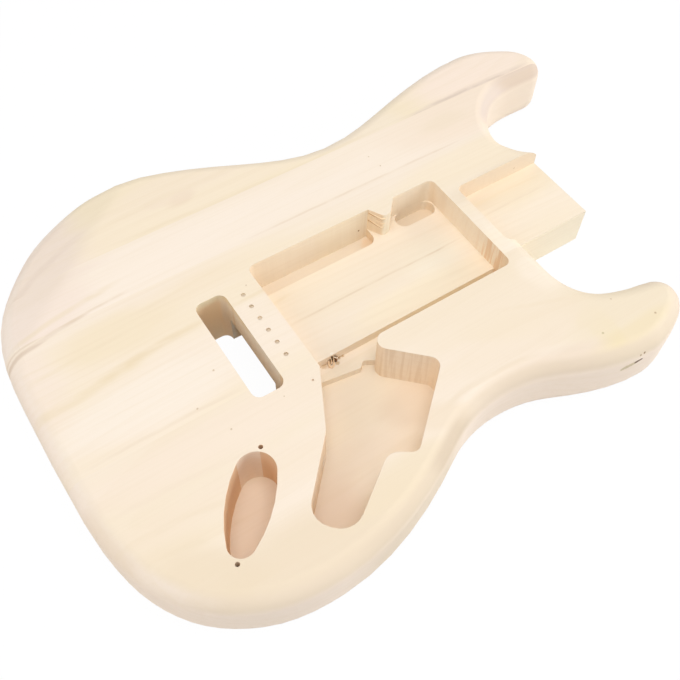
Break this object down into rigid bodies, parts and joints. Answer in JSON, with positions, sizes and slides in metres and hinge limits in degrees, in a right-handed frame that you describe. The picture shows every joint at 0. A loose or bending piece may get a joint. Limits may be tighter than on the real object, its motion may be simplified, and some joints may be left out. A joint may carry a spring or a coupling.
{
  "type": "electric guitar body",
  "caption": "Bare wooden electric guitar body with two cutaways, arm and belly contours, neck pocket, pickup route, control and jack cavities and a tremolo slot.",
  "frame": {"origin": "centre of the bounding box in plan, on the flat back face", "axes": "+X from the tail towards the neck pocket, +Y towards the bass side, +Z out of the front face"},
  "size_m": [0.46, 0.324, 0.045],
  "materials": {
    "treble_board": "bare sanded",
    "centre_board": "bare sanded",
    "bass_inner_board": "bare sanded",
    "bass_outer_board": "bare sanded"
  },
  "bodies": {
    "root": {"treble_board": "treble_board", "centre_board": "centre_board", "bass_inner_board": "bass_inner_board", "bass_outer_board": "bass_outer_board"}
  },
  "joints": []
}
